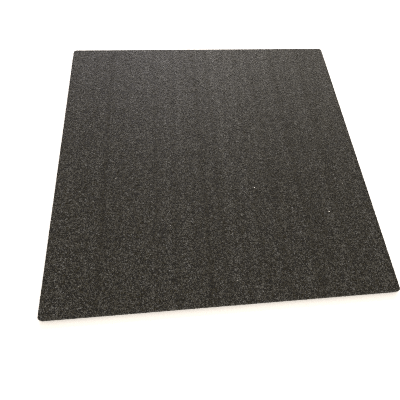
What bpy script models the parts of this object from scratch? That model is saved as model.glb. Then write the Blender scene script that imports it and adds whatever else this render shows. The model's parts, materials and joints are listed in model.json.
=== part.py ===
# Square anti-vibration mat of bound rubber crumb, lying flat. Metres, +Z up.
# The origin is on the floor, under the middle of the mat.

import bpy

MAT_SIDE = 0.600
MAT_THICKNESS = 0.008
CORNER_RADIUS = 0.007
CORNER_SEGMENTS = 6

# Empty the scene

for old in list(bpy.data.objects):
    bpy.data.objects.remove(old, do_unlink=True)

part = bpy.data.collections.new("Anti-vibration mat")
bpy.context.scene.collection.children.link(part)

# Rubber crumb material

rubber = bpy.data.materials.new("Bound rubber crumb")
rubber.use_nodes = True
surface = rubber.node_tree.nodes["Principled BSDF"]
surface.inputs["Base Color"].default_value = (0.055, 0.046, 0.039, 1.0)
surface.inputs["Roughness"].default_value = 0.75
surface.inputs["Metallic"].default_value = 0.0
surface.inputs["Specular IOR Level"].default_value = 0.5

# The mat is one slab, cut from a moulded block of crumb

bpy.ops.mesh.primitive_cube_add(size=1.0, location=(0.0, 0.0, MAT_THICKNESS / 2))
mat = bpy.context.active_object
mat.name = "rubber_mat"
mat.data.name = "rubber_mat"
mat.dimensions = (MAT_SIDE, MAT_SIDE, MAT_THICKNESS)
bpy.ops.object.transform_apply(location=False, rotation=False, scale=True)

# The four upright edges are rounded, and those round the two faces are left sharp as cut

weights = mat.data.attributes.new("bevel_weight_edge", "FLOAT", "EDGE")
for edge in mat.data.edges:
    low, high = (mat.data.vertices[i].co for i in edge.vertices)
    if abs(low.z - high.z) > MAT_THICKNESS / 2:
        weights.data[edge.index].value = 1.0

corners = mat.modifiers.new("Rounded corners", "BEVEL")
corners.limit_method = "WEIGHT"
corners.width = CORNER_RADIUS
corners.segments = CORNER_SEGMENTS

mat.data.materials.append(rubber)
for holder in list(mat.users_collection):
    holder.objects.unlink(mat)
part.objects.link(mat)
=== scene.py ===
import json
import math
import random

import bmesh
import bpy
from mathutils import Matrix, Vector, noise

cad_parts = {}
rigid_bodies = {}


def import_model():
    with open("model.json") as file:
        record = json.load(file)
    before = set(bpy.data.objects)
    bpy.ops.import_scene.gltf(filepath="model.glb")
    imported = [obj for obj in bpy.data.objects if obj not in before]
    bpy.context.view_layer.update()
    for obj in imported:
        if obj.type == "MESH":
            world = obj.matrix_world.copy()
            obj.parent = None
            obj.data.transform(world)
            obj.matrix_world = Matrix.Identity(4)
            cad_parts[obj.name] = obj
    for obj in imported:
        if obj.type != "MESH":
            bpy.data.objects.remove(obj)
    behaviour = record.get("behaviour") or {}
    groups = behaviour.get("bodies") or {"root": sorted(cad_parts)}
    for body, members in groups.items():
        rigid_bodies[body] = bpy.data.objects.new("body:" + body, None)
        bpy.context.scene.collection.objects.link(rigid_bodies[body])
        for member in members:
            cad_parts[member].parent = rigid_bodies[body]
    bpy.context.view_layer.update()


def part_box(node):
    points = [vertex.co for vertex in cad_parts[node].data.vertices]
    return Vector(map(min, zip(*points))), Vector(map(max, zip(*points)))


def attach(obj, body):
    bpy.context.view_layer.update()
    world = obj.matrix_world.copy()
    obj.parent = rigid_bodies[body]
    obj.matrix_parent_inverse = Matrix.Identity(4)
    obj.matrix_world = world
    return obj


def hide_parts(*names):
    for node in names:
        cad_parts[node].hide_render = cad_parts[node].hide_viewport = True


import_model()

# Bound core. The mat is one square of rubber crumb stuck together with polyurethane, sliced from
# a moulded block. Its core is the crumb that lies deeper, which shows only as pits between the cut
# crumbs. The pits are real hollows, and the core is also coloured near-black: painted shade that
# darkens them beyond the shade the hollows get.

mat_low, mat_high = (Vector(corner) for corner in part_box("rubber_mat"))
half_side = (mat_high.x - mat_low.x) / 2
corner_radius = 0.007
corner_centre = half_side - corner_radius
core_depth = 0.00045
core_side_depth = 0.00035
core_dip = 0.0004
core_dips_per_metre = 300
core_faces_apart = 40
core_pitch = 0.01
core_corner_steps = 5


class NodeBench:
    """Short ways to add and join the nodes of one tree."""

    def __init__(self, tree):
        self.tree = tree

    def give(self, socket, value):
        """Joins a socket to another one, or sets its value."""
        if isinstance(value, bpy.types.NodeSocket):
            self.tree.links.new(value, socket)
        else:
            socket.default_value = value

    def add(self, kind, settings=None, **inputs):
        """A new node. Its inputs are named as on the node, with _ for a space."""
        node = self.tree.nodes.new(kind)
        for name, value in (settings or {}).items():
            setattr(node, name, value)
        for name, value in inputs.items():
            self.give(node.inputs[name.replace("_", " ")], value)
        return node

    def number(self, operation, *values):
        """The result of a Math node."""
        node = self.add("ShaderNodeMath", {"operation": operation})
        for socket, value in zip(node.inputs, values):
            self.give(socket, value)
        return node.outputs["Value"]

    def vector(self, operation, *values):
        """The result of a Vector Math node."""
        node = self.add("ShaderNodeVectorMath", {"operation": operation})
        sockets = (node.inputs["Vector"], node.inputs["Scale"]) if operation == "SCALE" else node.inputs
        for socket, value in zip(sockets, values):
            self.give(socket, value)
        return node.outputs["Value" if operation == "DOT_PRODUCT" else "Vector"]

    def ramp(self, value, first, *later):
        """A colour ramp through evenly spaced colours."""
        node = self.add("ShaderNodeValToRGB", Fac=value)
        stops = node.color_ramp.elements
        stops[0].color = (*first, 1)
        stops[1].color = (*later[-1], 1)
        for step, colour in enumerate(later[:-1], 1):
            stops.new(step / len(later)).color = (*colour, 1)
        return node.outputs["Color"]


def core_black_painted_shade(crumbs_per_metre=520.0, relief_height=0.0006):
    """The deeper crumb, coloured near-black as painted shade for the pits, each crumb in its own tone."""
    material = bpy.data.materials.new("binder black crumb")
    material.use_nodes = True
    bench = NodeBench(material.node_tree)
    skin = material.node_tree.nodes["Principled BSDF"]
    seat = bench.add("ShaderNodeTexCoord").outputs["Object"]
    crumb = bench.add("ShaderNodeTexVoronoi", Vector=seat, Scale=crumbs_per_metre)
    split = bench.add("ShaderNodeSeparateColor", Color=crumb.outputs["Color"])
    # Near-black, darker than any cut crumb: painted shade that deepens the pits between the crumbs.
    shade = bench.ramp(split.outputs["Red"], (0.001, 0.0009, 0.0007), (0.006, 0.0052, 0.0042))
    bench.give(skin.inputs["Base Color"], shade)
    relief = bench.add("ShaderNodeBump", {"invert": True}, Strength=0.8, Distance=relief_height,
                       Height=crumb.outputs["Distance"])
    bench.give(skin.inputs["Normal"], relief.outputs["Normal"])
    skin.inputs["Roughness"].default_value = 0.5
    skin.inputs["Specular IOR Level"].default_value = 0.16
    return material


def core_lines(rim_width):
    """Where the core's grid lines lie, the same along X and Y, closer together near the rim."""
    count = round(2 * corner_centre / core_pitch)
    inner = [corner_centre * (2 * step / count - 1) for step in range(count + 1)]
    steps = range(1, core_corner_steps + 1)
    outer = [corner_centre + rim_width * step / core_corner_steps for step in steps]
    return [-place for place in reversed(outer)] + inner + outer


def drawn_in(x, y, rim_width):
    """A grid point near a corner, drawn in so that the square corner turns round."""
    over_x = max(abs(x) - corner_centre, 0)
    over_y = max(abs(y) - corner_centre, 0)
    round_x = over_x * math.sqrt(1 - (over_y / rim_width) ** 2 / 2)
    round_y = over_y * math.sqrt(1 - (over_x / rim_width) ** 2 / 2)
    return x - math.copysign(over_x - round_x, x), y - math.copysign(over_y - round_y, y)


def chart_core(skin, rim):
    """Lays the core out flat: the top on the left half, the underside on the right, the rim above."""
    half_width = 0.49
    underside_start = 0.51
    faces_height = 0.94
    rim_start = 0.96
    reach = half_side - core_side_depth
    skin.normal_update()
    chart = skin.loops.layers.uv.new("OFBake")
    for face in skin.faces:
        start = underside_start if face.normal.z < 0 else 0.0
        for corner in face.loops:
            u, v = ((place / reach + 1) / 2 for place in corner.vert.co[:2])
            corner[chart].uv = (half_width * u + start, faces_height * v)
    for wall, near, far in rim:
        for corner, u, v in zip(wall.loops, (near, far, far, near), (rim_start, rim_start, 1.0, 1.0)):
            corner[chart].uv = (u, v)


def make_bound_core():
    """A closed slab inside the cut faces, uneven by a fraction of a millimetre."""
    rim_width = corner_radius - core_side_depth
    lines = core_lines(rim_width)
    last = len(lines) - 1
    levels = ((mat_low.z + core_depth, mat_low.z + core_side_depth),
              (mat_high.z - core_depth, mat_high.z - core_side_depth))
    skin = bmesh.new()
    grid = {}
    for level, (face_z, rim_z) in enumerate(levels):
        for i, x_line in enumerate(lines):
            for j, y_line in enumerate(lines):
                x, y = drawn_in(x_line, y_line, rim_width)
                seed = Vector((x * core_dips_per_metre, y * core_dips_per_metre, level * core_faces_apart))
                at_rim = i in (0, last) or j in (0, last)
                z = rim_z if at_rim else face_z + noise.noise(seed) * core_dip
                grid[level, i, j] = skin.verts.new((x, y, z))
    for i in range(last):
        for j in range(last):
            skin.faces.new([grid[1, i, j], grid[1, i + 1, j], grid[1, i + 1, j + 1], grid[1, i, j + 1]])
            skin.faces.new([grid[0, i, j], grid[0, i, j + 1], grid[0, i + 1, j + 1], grid[0, i + 1, j]])
    rim = []
    for a in range(last):
        stretches = (((a, 0), (a + 1, 0)), ((last, a), (last, a + 1)),
                     ((a + 1, last), (a, last)), ((0, a + 1), (0, a)))
        for side, (one, two) in enumerate(stretches):
            wall = skin.faces.new([grid[0, *one], grid[0, *two], grid[1, *two], grid[1, *one]])
            rim.append((wall, (side + a / last) / 4, (side + (a + 1) / last) / 4))
    chart_core(skin, rim)
    mesh = bpy.data.meshes.new("bound_core")
    skin.to_mesh(mesh)
    skin.free()
    mesh.materials.append(core_black_painted_shade())
    core = bpy.data.objects.new("bound_core", mesh)
    bpy.context.scene.collection.objects.link(core)
    return core


bound_core = make_bound_core()
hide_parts("rubber_mat")
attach(bound_core, "root")

# Crumb. Shredded tyre rubber, 1 to 4 mm across, cut flush with the mat's faces when it was
# sliced from the block. Each crumb is a chip with a flat cut top and a point buried in the mat.
# The mat is a blend of five rubbers, from black to grey, and each of them makes one piece.

crumb_sizes = {
    "Spacing": 0.00143,
    "Chip Radius": 0.0014,
    "Underside Share": 0.35,
    "Deepest Sink": 0.0006,
    "Ragged Edge": 0.0003,
    "Seed": 3,
}
chip_count = 12
chip_corners = (4, 5, 5, 4, 5, 6)
chip_lean = 0.11
smallest_chip = 0.60
chip_spread = 0.75
larger_underneath = 0.45
cut_slack = 0.00002
skim_depth = 0.00005
mm_per_metre = 1000


def make_chips():
    """A hidden collection of chips, about 2 units across, with their tops near z = 0."""
    map_middles = {"top": 0.25, "sides": 0.75}
    drawer = bpy.data.collections.new("chips")
    pick = random.Random(4)
    for number in range(chip_count):
        chip = bmesh.new()
        corners = chip_corners[number % len(chip_corners)]
        start = pick.uniform(0, math.tau)
        stretch = pick.uniform(0.55, 1.0)
        for corner in range(corners):
            angle = start + (corner + pick.uniform(-0.3, 0.3)) / corners * 2 * math.pi
            reach = pick.uniform(0.75, 1.15)
            chip.verts.new((reach * math.cos(angle), reach * math.sin(angle) * stretch,
                            pick.uniform(0.0, 0.22)))
        chip.verts.new((pick.uniform(-0.4, 0.4), pick.uniform(-0.3, 0.3), pick.uniform(-3.0, -2.2)))
        hull = bmesh.ops.convex_hull(chip, input=chip.verts[:])
        loose = [item for item in hull["geom_interior"] if isinstance(item, bmesh.types.BMVert)]
        bmesh.ops.delete(chip, geom=loose, context="VERTS")
        bmesh.ops.recalc_face_normals(chip, faces=chip.faces[:])
        chip.normal_update()
        chart = chip.loops.layers.uv.new("OFBake")
        for face in chip.faces:
            middle = map_middles["top" if face.normal.z > 0 else "sides"]
            for corner in face.loops:
                x, y = corner.vert.co[:2]
                corner[chart].uv = (0.5 + 0.4 * x, middle + 0.2 * y)
        mesh = bpy.data.meshes.new(f"chip_{number:02d}")
        chip.to_mesh(mesh)
        chip.free()
        drawer.objects.link(bpy.data.objects.new(mesh.name, mesh))
    return drawer


def mat_outline(steps=6):
    """Corner points of the mat's outline, anticlockwise from above."""
    points = []
    for quarter, (side_x, side_y) in enumerate(((1, 1), (-1, 1), (-1, -1), (1, -1))):
        turn = quarter * math.pi / 2
        for step in range(steps + 1):
            angle = turn + step / steps * math.pi / 2
            points.append((side_x * corner_centre + corner_radius * math.cos(angle),
                           side_y * corner_centre + corner_radius * math.sin(angle)))
    return points


def make_cut_faces():
    """The mat's own faces, on which the crumbs are laid: top, underside and the rim."""
    skin = bmesh.new()
    low = [skin.verts.new((x, y, mat_low.z)) for x, y in mat_outline()]
    high = [skin.verts.new((x, y, mat_high.z)) for x, y in mat_outline()]
    skin.faces.new(high)
    skin.faces.new(list(reversed(low)))
    for a in range(len(low)):
        b = (a + 1) % len(low)
        skin.faces.new([low[a], low[b], high[b], high[a]])
    mesh = bpy.data.meshes.new("cut_faces")
    skin.to_mesh(mesh)
    skin.free()
    return mesh


# The knife that sliced the block left faint stripes from front to back, where it dragged some
# crumbs dull and others smooth. Each mark is given in millimetres from the middle of the mat,
# then its width, and how much lighter (+) or darker (-) it is in per cent.

blade_marks = (
    (-272, 10, 3), (-211, 7, -8), (-181, 8, -3), (-133, 7, 2), (-115, 6, -4), (-91, 6, 6),
    (-77, 6, -3), (-64, 8, 5), (-24, 8, -7), (5, 8, -4), (24, 12, 5), (57, 12, 4), (72, 6, -3),
    (95, 6, 3), (109, 9, -4), (145, 10, 3), (164, 9, -6), (184, 9, -2), (212, 9, 3), (230, 9, -4),
    (281, 12, 3),
)
strongest_mark = 0.3
mark_swing = 1.1
mark_wander = 0.004
cloud_swing = 0.05


def draw_blade_profile(curve, points=160):
    """Fills a 0 to 1 curve across the mat: 0.5 is plain, and the marks rise and dip from it."""
    stops = curve.curves[0].points
    for number in range(points + 1):
        across = number / points
        x = (2 * across - 1) * half_side * mm_per_metre
        shade = 0.0
        for middle, width, strength in blade_marks:
            soft_width = 0.6 * width
            shade += strength / 100 * math.exp(-((x - middle) / soft_width) ** 2)
        height = min(max(0.5 + shade / (2 * strongest_mark), 0.0), 1.0)
        if number in (0, points):
            stops[0 if number == 0 else -1].location = (across, height)
        else:
            stops.new(across, height)
    for stop in stops:
        stop.handle_type = "VECTOR"
    curve.update()


def long_noise(bench, seat, waves_per_metre, detail):
    """Smooth noise about 0.5, with its own number of waves per metre along each axis."""
    stretched = bench.vector("MULTIPLY", seat, waves_per_metre)
    return bench.add("ShaderNodeTexNoise", Vector=stretched, Scale=1.0, Detail=detail).outputs[0]


def blade_mark_at(bench, seat):
    """How light or dark a place is: stripes that wander and fade along the mat, and a faint cloud."""
    right = bench.add("ShaderNodeSeparateXYZ", Vector=seat).outputs["X"]
    wander = long_noise(bench, seat, (30.0, 4.0, 1.0), 1.0)
    drift = bench.number("MULTIPLY_ADD", wander, mark_wander, -mark_wander / 2)
    across = bench.number("MULTIPLY_ADD", bench.number("ADD", right, drift), 0.5 / half_side, 0.5)
    profile = bench.add("ShaderNodeFloatCurve", Value=across)
    draw_blade_profile(profile.mapping)
    stripe = bench.number("MULTIPLY_ADD", profile.outputs[0], mark_swing, -mark_swing / 2)
    fade = bench.number("MULTIPLY_ADD", long_noise(bench, seat, (60.0, 6.0, 1.0), 2.0), 1.0, 0.5)
    cloud = bench.add("ShaderNodeTexNoise", Vector=seat, Scale=45.0, Detail=3.0, Roughness=0.6)
    faint = bench.number("MULTIPLY_ADD", cloud.outputs[0], cloud_swing, -cloud_swing / 2)
    return bench.number("ADD", bench.number("MULTIPLY", stripe, fade), faint)


def drawn_lot(bench, seed, low, high):
    """A random number, whole number or vector for each crumb, of the kind that low is."""
    kinds = {float: ("FLOAT", 2, 1), int: ("INT", 4, 2), tuple: ("FLOAT_VECTOR", 0, 0)}
    kind, first, result = kinds[type(low)]
    node = bench.add("FunctionNodeRandomValue", {"data_type": kind}, Seed=seed)
    bench.give(node.inputs[first], low)
    bench.give(node.inputs[first + 1], high)
    return node.outputs[result]


def read(bench, name, kind="FLOAT"):
    """What was kept on the geometry under a name."""
    return bench.add("GeometryNodeInputNamedAttribute", {"data_type": kind}, Name=name).outputs[0]


def keep(bench, geometry, name, value, kind="FLOAT", domain="INSTANCE"):
    """The geometry with a value kept on it under a name."""
    node = bench.add("GeometryNodeStoreNamedAttribute", {"data_type": kind, "domain": domain},
                     Geometry=geometry, Name=name, Value=value)
    return node.outputs[0]


def is_under(bench, normal):
    """1 where a face looks down, and 0 elsewhere."""
    return bench.number("LESS_THAN", bench.vector("DOT_PRODUCT", normal, (0, 0, 1)), -0.5)


def scatter_crumbs(bench, given):
    """Points on the cut faces, fewer of them underneath, and of these the ones of a single rubber."""
    tries_per_square_metre = 1000000.0
    under = is_under(bench, bench.add("GeometryNodeInputNormal").outputs[0])
    left_out = bench.number("MULTIPLY", under, bench.number("SUBTRACT", 1.0, given["Underside Share"]))
    scatter = bench.add("GeometryNodeDistributePointsOnFaces", {"distribute_method": "POISSON"},
                        Mesh=given["Geometry"], Distance_Min=given["Spacing"],
                        Density_Max=tries_per_square_metre,
                        Density_Factor=bench.number("SUBTRACT", 1.0, left_out), Seed=given["Seed"])
    seat = bench.add("GeometryNodeInputPosition").outputs[0]
    points = keep(bench, scatter.outputs["Points"], "home", seat, "FLOAT_VECTOR", "POINT")
    points = keep(bench, points, "out", scatter.outputs["Normal"], "FLOAT_VECTOR", "POINT")
    rubber = drawn_lot(bench, 91, 0, bench.number("SUBTRACT", given["Rubbers"], 1.0))
    other = bench.add("FunctionNodeCompare", {"data_type": "INT", "operation": "NOT_EQUAL"})
    bench.give(other.inputs[2], rubber)
    bench.give(other.inputs[3], given["Rubber"])
    own = bench.add("GeometryNodeDeleteGeometry", {"domain": "POINT"}, Geometry=points,
                    Selection=other.outputs[0])
    return own.outputs[0], scatter.outputs["Rotation"]


def lay_chips(bench, given, chips, points, rotation):
    """One chip on each point, turned and sized at random, more small than large."""
    drawer = bench.add("GeometryNodeCollectionInfo", {"transform_space": "ORIGINAL"}, Collection=chips,
                       Separate_Children=True, Reset_Children=True)
    lean = drawn_lot(bench, 7, (-chip_lean, -chip_lean, 0.0), (chip_lean, chip_lean, math.tau))
    spin = bench.add("FunctionNodeEulerToRotation", Euler=lean)
    turned = bench.add("FunctionNodeRotateRotation", {"rotation_space": "LOCAL"}, Rotation=rotation,
                       Rotate_By=spin.outputs[0])
    mostly_small = bench.number("POWER", drawn_lot(bench, 23, 0.0, 1.0), 1.6)
    grown = bench.number("MULTIPLY_ADD", mostly_small, chip_spread, smallest_chip)
    under = is_under(bench, read(bench, "out", "FLOAT_VECTOR"))
    size = bench.number("MULTIPLY", bench.number("MULTIPLY", grown, given["Chip Radius"]),
                        bench.number("MULTIPLY_ADD", under, larger_underneath, 1.0))
    laid = bench.add("GeometryNodeInstanceOnPoints", Points=points, Instance=drawer.outputs[0],
                     Pick_Instance=True, Instance_Index=drawn_lot(bench, 5, 0, chip_count - 1),
                     Rotation=turned.outputs[0], Scale=size).outputs[0]
    for name, seed in (("tone", 31), ("polish", 43), ("sunk", 57)):
        laid = keep(bench, laid, name, drawn_lot(bench, seed, 0.0, 1.0))
    seat = bench.add("GeometryNodeInputPosition").outputs[0]
    laid = keep(bench, laid, "mark", blade_mark_at(bench, seat))
    laid = keep(bench, laid, "number", bench.add("GeometryNodeInputIndex").outputs[0])
    return bench.add("GeometryNodeRealizeInstances", Geometry=laid).outputs[0]


def cut_flush(bench, given, crumbs):
    """Sinks each crumb by its own amount, then trims it at the faces and at the rounded outline."""
    never_zero = 0.00001
    place = bench.add("GeometryNodeInputPosition").outputs[0]
    facing = read(bench, "out", "FLOAT_VECTOR")
    few_deep = bench.number("POWER", read(bench, "sunk"), 4.0)
    drop = bench.number("MULTIPLY", few_deep, given["Deepest Sink"])
    lowered = bench.vector("SUBTRACT", place, bench.vector("SCALE", facing, drop))
    from_home = bench.vector("SUBTRACT", lowered, read(bench, "home", "FLOAT_VECTOR"))
    height = bench.vector("DOT_PRODUCT", from_home, facing)
    skim = bench.number("MULTIPLY_ADD", read(bench, "tone"), skim_depth, cut_slack)
    proud = bench.number("MAXIMUM", bench.number("ADD", height, skim), 0.0)
    trimmed = bench.vector("SUBTRACT", lowered, bench.vector("SCALE", facing, proud))
    x, y, z = bench.add("ShaderNodeSeparateXYZ", Vector=trimmed).outputs
    over_x, over_y = (
        bench.number("MAXIMUM", bench.number("SUBTRACT", bench.number("ABSOLUTE", part), corner_centre), 0.0)
        for part in (x, y)
    )
    squares = bench.number("ADD", bench.number("MULTIPLY", over_x, over_x),
                           bench.number("MULTIPLY", over_y, over_y))
    reach = bench.number("SQRT", squares)
    ragged = bench.number("MULTIPLY", given["Ragged Edge"], -1.0)
    outline = bench.number("MULTIPLY_ADD", read(bench, "sunk"), ragged, corner_radius - cut_slack)
    outside = bench.number("MAXIMUM", bench.number("SUBTRACT", reach, outline), 0.0)
    pull = bench.number("DIVIDE", outside, bench.number("MAXIMUM", reach, never_zero))
    inside = []
    for part, over in ((x, over_x), (y, over_y)):
        less = bench.number("MULTIPLY", bench.number("MULTIPLY", over, pull), bench.number("SIGN", part))
        inside.append(bench.number("SUBTRACT", part, less))
    off_floor = bench.number("MAXIMUM", z, mat_low.z + cut_slack)
    flush = bench.add("ShaderNodeCombineXYZ", X=inside[0], Y=inside[1],
                      Z=bench.number("MINIMUM", off_floor, mat_high.z - cut_slack))
    return bench.add("GeometryNodeSetPosition", Geometry=crumbs, Position=flush.outputs[0]).outputs[0]


def chart_crumbs(bench, crumbs, cells_across=160.0):
    """Gives each crumb its own cell of a square map, row by row."""
    count = read(bench, "number")
    row = bench.number("FLOOR", bench.number("DIVIDE", count, cells_across))
    cell = bench.add("ShaderNodeCombineXYZ", X=bench.number("MODULO", count, cells_across), Y=row, Z=0.0)
    in_cell = bench.vector("ADD", cell.outputs[0], read(bench, "OFBake", "FLOAT_VECTOR"))
    chart = bench.vector("SCALE", in_cell, 1.0 / cells_across)
    return keep(bench, crumbs, "OFBake", chart, "FLOAT2", "CORNER")


def crumb_tree(chips):
    """Scatters chips over the cut faces, cuts them flush, and keeps those of one rubber."""
    tree = bpy.data.node_groups.new("lay crumb", "GeometryNodeTree")
    tree.interface.new_socket("Geometry", in_out="INPUT", socket_type="NodeSocketGeometry")
    for name in ("Spacing", "Chip Radius", "Underside Share", "Deepest Sink", "Ragged Edge"):
        tree.interface.new_socket(name, in_out="INPUT", socket_type="NodeSocketFloat")
    for name in ("Seed", "Rubber", "Rubbers"):
        tree.interface.new_socket(name, in_out="INPUT", socket_type="NodeSocketInt")
    tree.interface.new_socket("Finish", in_out="INPUT", socket_type="NodeSocketMaterial")
    tree.interface.new_socket("Geometry", in_out="OUTPUT", socket_type="NodeSocketGeometry")
    bench = NodeBench(tree)
    given = bench.add("NodeGroupInput").outputs
    points, rotation = scatter_crumbs(bench, given)
    crumbs = lay_chips(bench, given, chips, points, rotation)
    crumbs = cut_flush(bench, given, crumbs)
    crumbs = chart_crumbs(bench, crumbs)
    for name in ("home", "out", "sunk", "number", "id"):
        crumbs = bench.add("GeometryNodeRemoveAttribute", Geometry=crumbs, Name=name).outputs[0]
    dressed = bench.add("GeometryNodeSetMaterial", Geometry=crumbs, Material=given["Finish"])
    bench.add("NodeGroupOutput", Geometry=dressed.outputs[0])
    return tree


def cut_rubber(name, dark, middle, light):
    """Cut tyre rubber: tone and polish differ by crumb, and a brown cast lies under all of them."""
    brown_cast = (0.0083, 0.0061, 0.0)
    darkest_speckle = 0.15
    speckle_swing = 1.7
    mark_contrast = 3.2
    smoothest = 0.43
    polish_swing = 0.12
    mark_shine = 0.35
    material = bpy.data.materials.new(name)
    material.use_nodes = True
    bench = NodeBench(material.node_tree)
    skin = material.node_tree.nodes["Principled BSDF"]
    seat = bench.add("ShaderNodeTexCoord").outputs["Object"]
    tone, polish, mark = (
        bench.add("ShaderNodeAttribute", {"attribute_name": own}).outputs["Fac"]
        for own in ("tone", "polish", "mark")
    )
    apart = bench.add("ShaderNodeCombineXYZ", X=tone, Y=polish, Z=0.0)
    own_seat = bench.vector("ADD", seat, apart.outputs[0])
    speckles = bench.add("ShaderNodeTexVoronoi", Vector=own_seat, Scale=950.0)
    split = bench.add("ShaderNodeSeparateColor", Color=speckles.outputs["Color"])
    speckle = bench.number("MULTIPLY_ADD", split.outputs["Red"], speckle_swing, darkest_speckle)
    stripe = bench.number("MULTIPLY_ADD", mark, mark_contrast, 1.0)
    shade = bench.ramp(tone, dark, middle, light)
    tinted = bench.vector("MULTIPLY_ADD", shade, bench.number("MULTIPLY", speckle, stripe), brown_cast)
    bench.give(skin.inputs["Base Color"], tinted)
    rough = bench.number("MULTIPLY_ADD", polish, polish_swing, smoothest)
    bench.give(skin.inputs["Roughness"], bench.number("MULTIPLY_ADD", mark, -mark_shine, rough))
    grain = bench.add("ShaderNodeTexNoise", Vector=seat, Scale=1400.0, Detail=3.0)
    domed = bench.number("MULTIPLY", speckles.outputs["Distance"], 1.5)
    relief = bench.add("ShaderNodeBump", Strength=0.35, Distance=0.0003,
                       Height=bench.number("SUBTRACT", grain.outputs[0], domed))
    bench.give(skin.inputs["Normal"], relief.outputs["Normal"])
    skin.inputs["Specular IOR Level"].default_value = 0.15
    return material


def lay_crumb(name, tree, faces, settings):
    """One rubber's crumbs as a plain mesh piece."""
    piece = bpy.data.objects.new(name, faces.copy())
    bpy.context.scene.collection.objects.link(piece)
    layer = piece.modifiers.new("lay crumb", "NODES")
    layer.node_group = tree
    for item in tree.interface.items_tree:
        if item.name in settings:
            layer[item.identifier] = settings[item.name]
    laid = piece.evaluated_get(bpy.context.evaluated_depsgraph_get())
    mesh = bpy.data.meshes.new_from_object(laid)
    mesh.name = name
    piece.modifiers.remove(layer)
    bare = piece.data
    piece.data = mesh
    bpy.data.meshes.remove(bare)
    return piece


# How light each rubber's darkest, middling and lightest crumbs are, and its tint in red, green and
# blue. One lightness raises all of them alike, and the brown cast comes on top.

lightness = 1.087
cool_tint = (0.97, 1.0, 1.01)
brown_tint = (0.985, 1.0, 0.975)
grey_tint = (0.955, 1.0, 1.035)
rubbers = {
    "black_crumb": ((0.0, 0.010, 0.022), cool_tint),
    "worn_crumb": ((0.014, 0.0235, 0.0325), cool_tint),
    "dull_crumb": ((0.017, 0.0275, 0.0375), cool_tint),
    "brown_crumb": ((0.019, 0.030, 0.041), brown_tint),
    "grey_crumb": ((0.022, 0.035, 0.060), grey_tint),
}


def rubber_shades(greys, tint):
    """The colours of a rubber's darkest, middling and lightest crumbs."""
    return [tuple(lightness * grey * part for part in tint) for grey in greys]


chips = make_chips()
cut_faces = make_cut_faces()
tree = crumb_tree(chips)
for number, (name, (greys, tint)) in enumerate(rubbers.items()):
    finish = cut_rubber(name.replace("_", " "), *rubber_shades(greys, tint))
    settings = {**crumb_sizes, "Rubber": number, "Rubbers": len(rubbers), "Finish": finish}
    crumb = lay_crumb(name, tree, cut_faces, settings)
    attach(crumb, "root")
bpy.data.node_groups.remove(tree)
for chip in list(chips.objects):
    bpy.data.meshes.remove(chip.data)
bpy.data.collections.remove(chips)
bpy.data.meshes.remove(cut_faces)

# Pale flecks. A few crumbs of pale filler, a millimetre or two across, that got into the block
# and were cut flush with the rest. The two largest are nearly white. Each is given in
# millimetres to the right and to the back of the middle, then its half width and its paleness.

flecks = (
    (210, -144, 1.15, 0.9), (74, -85, 1.1, 0.9), (-190, -51, 0.9, 0.35), (252, -86, 0.9, 0.35),
    (-247, 75, 0.9, 0.4), (-90, -154, 0.8, 0.35), (-31, -181, 0.8, 0.35), (19, -261, 0.8, 0.35),
    (-242, -251, 0.8, 0.35),
)
fleck_slack = 0.00001
fleck_depth = 0.0025


def pale_filler():
    """Dull filler, from dark to nearly white by the fleck's own paleness."""
    material = bpy.data.materials.new("pale filler")
    material.use_nodes = True
    bench = NodeBench(material.node_tree)
    skin = material.node_tree.nodes["Principled BSDF"]
    pale = bench.add("ShaderNodeAttribute", {"attribute_name": "pale"}).outputs["Fac"]
    bench.give(skin.inputs["Base Color"], bench.ramp(pale, (0.02, 0.019, 0.017), (0.62, 0.60, 0.56)))
    skin.inputs["Roughness"].default_value = 0.7
    return material


def make_flecks():
    """Small cut crumbs, sunk in the top face, each with its own paleness as an attribute."""
    shape = bmesh.new()
    paleness = shape.faces.layers.float.new("pale")
    pick = random.Random(12)
    for *measures, pale in flecks:
        x, y, half_width = (measure / mm_per_metre for measure in measures)
        corners = pick.choice((5, 6))
        around = []
        for corner in range(corners):
            angle = (corner + pick.uniform(-0.25, 0.25)) / corners * 2 * math.pi
            reach = half_width * pick.uniform(0.8, 1.15)
            around.append(shape.verts.new((x + reach * math.cos(angle), y + reach * math.sin(angle),
                                           mat_high.z - fleck_slack)))
        foot = shape.verts.new((x, y, mat_high.z - fleck_depth))
        sides = [shape.faces.new((around[a], foot, around[(a + 1) % corners])) for a in range(corners)]
        for face in [shape.faces.new(around)] + sides:
            face[paleness] = pale
    bmesh.ops.recalc_face_normals(shape, faces=shape.faces[:])
    mesh = bpy.data.meshes.new("pale_fleck")
    shape.to_mesh(mesh)
    shape.free()
    mesh.materials.append(pale_filler())
    fleck = bpy.data.objects.new("pale_fleck", mesh)
    bpy.context.scene.collection.objects.link(fleck)
    return fleck


pale_fleck = make_flecks()
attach(pale_fleck, "root")

# Floor. A plain white sheet under the mat, bright enough to burn out as in the photo.

floor_reach = 3
floor_corners = [(x * floor_reach, y * floor_reach, 0) for x, y in ((-1, -1), (1, -1), (1, 1), (-1, 1))]
floor_mesh = bpy.data.meshes.new("floor")
floor_mesh.from_pydata(floor_corners, [], [(0, 1, 2, 3)])
floor = bpy.data.objects.new("floor", floor_mesh)
bpy.context.scene.collection.objects.link(floor)
paper = bpy.data.materials.new("white floor")
paper.use_nodes = True
paper_skin = paper.node_tree.nodes["Principled BSDF"]
paper_skin.inputs["Base Color"].default_value = (0.86, 0.86, 0.85, 1)
paper_skin.inputs["Roughness"].default_value = 0.9
paper_skin.inputs["Specular IOR Level"].default_value = 0.2
floor_mesh.materials.append(paper)

# Light. A warm white room. Two windows behind the mat, the left one cooler, and a narrow one to
# the right of them put a sheen on its far half. A wide one in front fills the shadow along the
# near edge.

room = bpy.data.worlds.new("white room")
bpy.context.scene.world = room
room.use_nodes = True
room_light = room.node_tree.nodes["Background"]
room_light.inputs["Color"].default_value = (1.0, 0.93, 0.85, 1)
room_light.inputs["Strength"].default_value = 1.19


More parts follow.
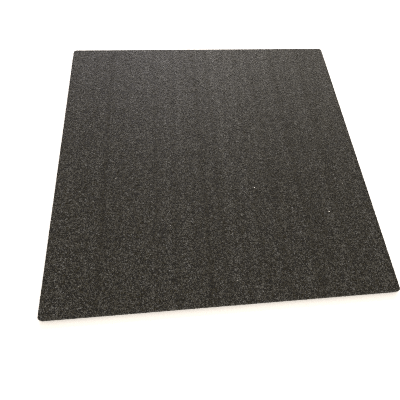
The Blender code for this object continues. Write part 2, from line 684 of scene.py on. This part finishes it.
def make_window(name, place, size, power, colour):
    """A rectangle of light, of a width and a height, that faces the mat."""
    glass = bpy.data.lights.new(name, "AREA")
    glass.shape = "RECTANGLE"
    glass.size, glass.size_y = size
    glass.energy = power
    glass.color = colour
    window = bpy.data.objects.new(name, glass)
    bpy.context.scene.collection.objects.link(window)
    window.location = place
    window.rotation_euler = (-window.location).to_track_quat("-Z", "Y").to_euler()


make_window("left back window", (-0.6, 3.2, 1.6), (1.2, 1.4), 66.0, (0.90, 0.86, 0.97))
make_window("right back window", (0.6, 3.2, 1.6), (1.2, 1.4), 77.5, (1.0, 0.947, 0.895))
make_window("right side window", (2.7, 3.2, 1.6), (0.6, 1.4), 36.5, (1.0, 0.93, 0.85))
make_window("front window", (0.0, -3.0, 2.2), (3.0, 2.0), 50.0, (1.0, 0.925, 0.845))

# Camera. A phone held over the front edge, leaning a little to one side. Its lens and the
# shift of its centre are given in pixels of a picture 400 wide.

picture_width = 400
lens_pixels = 329.54
shift_pixels = -12.89
sensor_width_mm = 36
camera_place = (-0.0688, -0.378, 0.5637)
yaw, pitch, roll = (math.radians(angle) for angle in (12.463, 63.485, 8.251))

ahead = Vector((math.sin(yaw) * math.cos(pitch), math.cos(yaw) * math.cos(pitch), -math.sin(pitch)))
right = Vector((math.cos(yaw), -math.sin(yaw), 0))
up = right.cross(ahead)
across = math.cos(roll) * right + math.sin(roll) * up
upright = -math.sin(roll) * right + math.cos(roll) * up
turn = Matrix((across, upright, -ahead)).transposed()
lens = bpy.data.cameras.new("camera")
lens.sensor_width = sensor_width_mm
lens.lens = lens_pixels / picture_width * sensor_width_mm
lens.shift_x = shift_pixels / picture_width
lens.clip_start = 0.01
camera = bpy.data.objects.new("camera", lens)
bpy.context.scene.collection.objects.link(camera)
camera.matrix_world = Matrix.Translation(camera_place) @ turn.to_4x4()
bpy.context.scene.camera = camera
bpy.context.scene.view_settings.view_transform = "Standard"
bpy.context.scene.cycles.filter_width = 1.1
bpy.context.scene.cycles.use_denoising = False
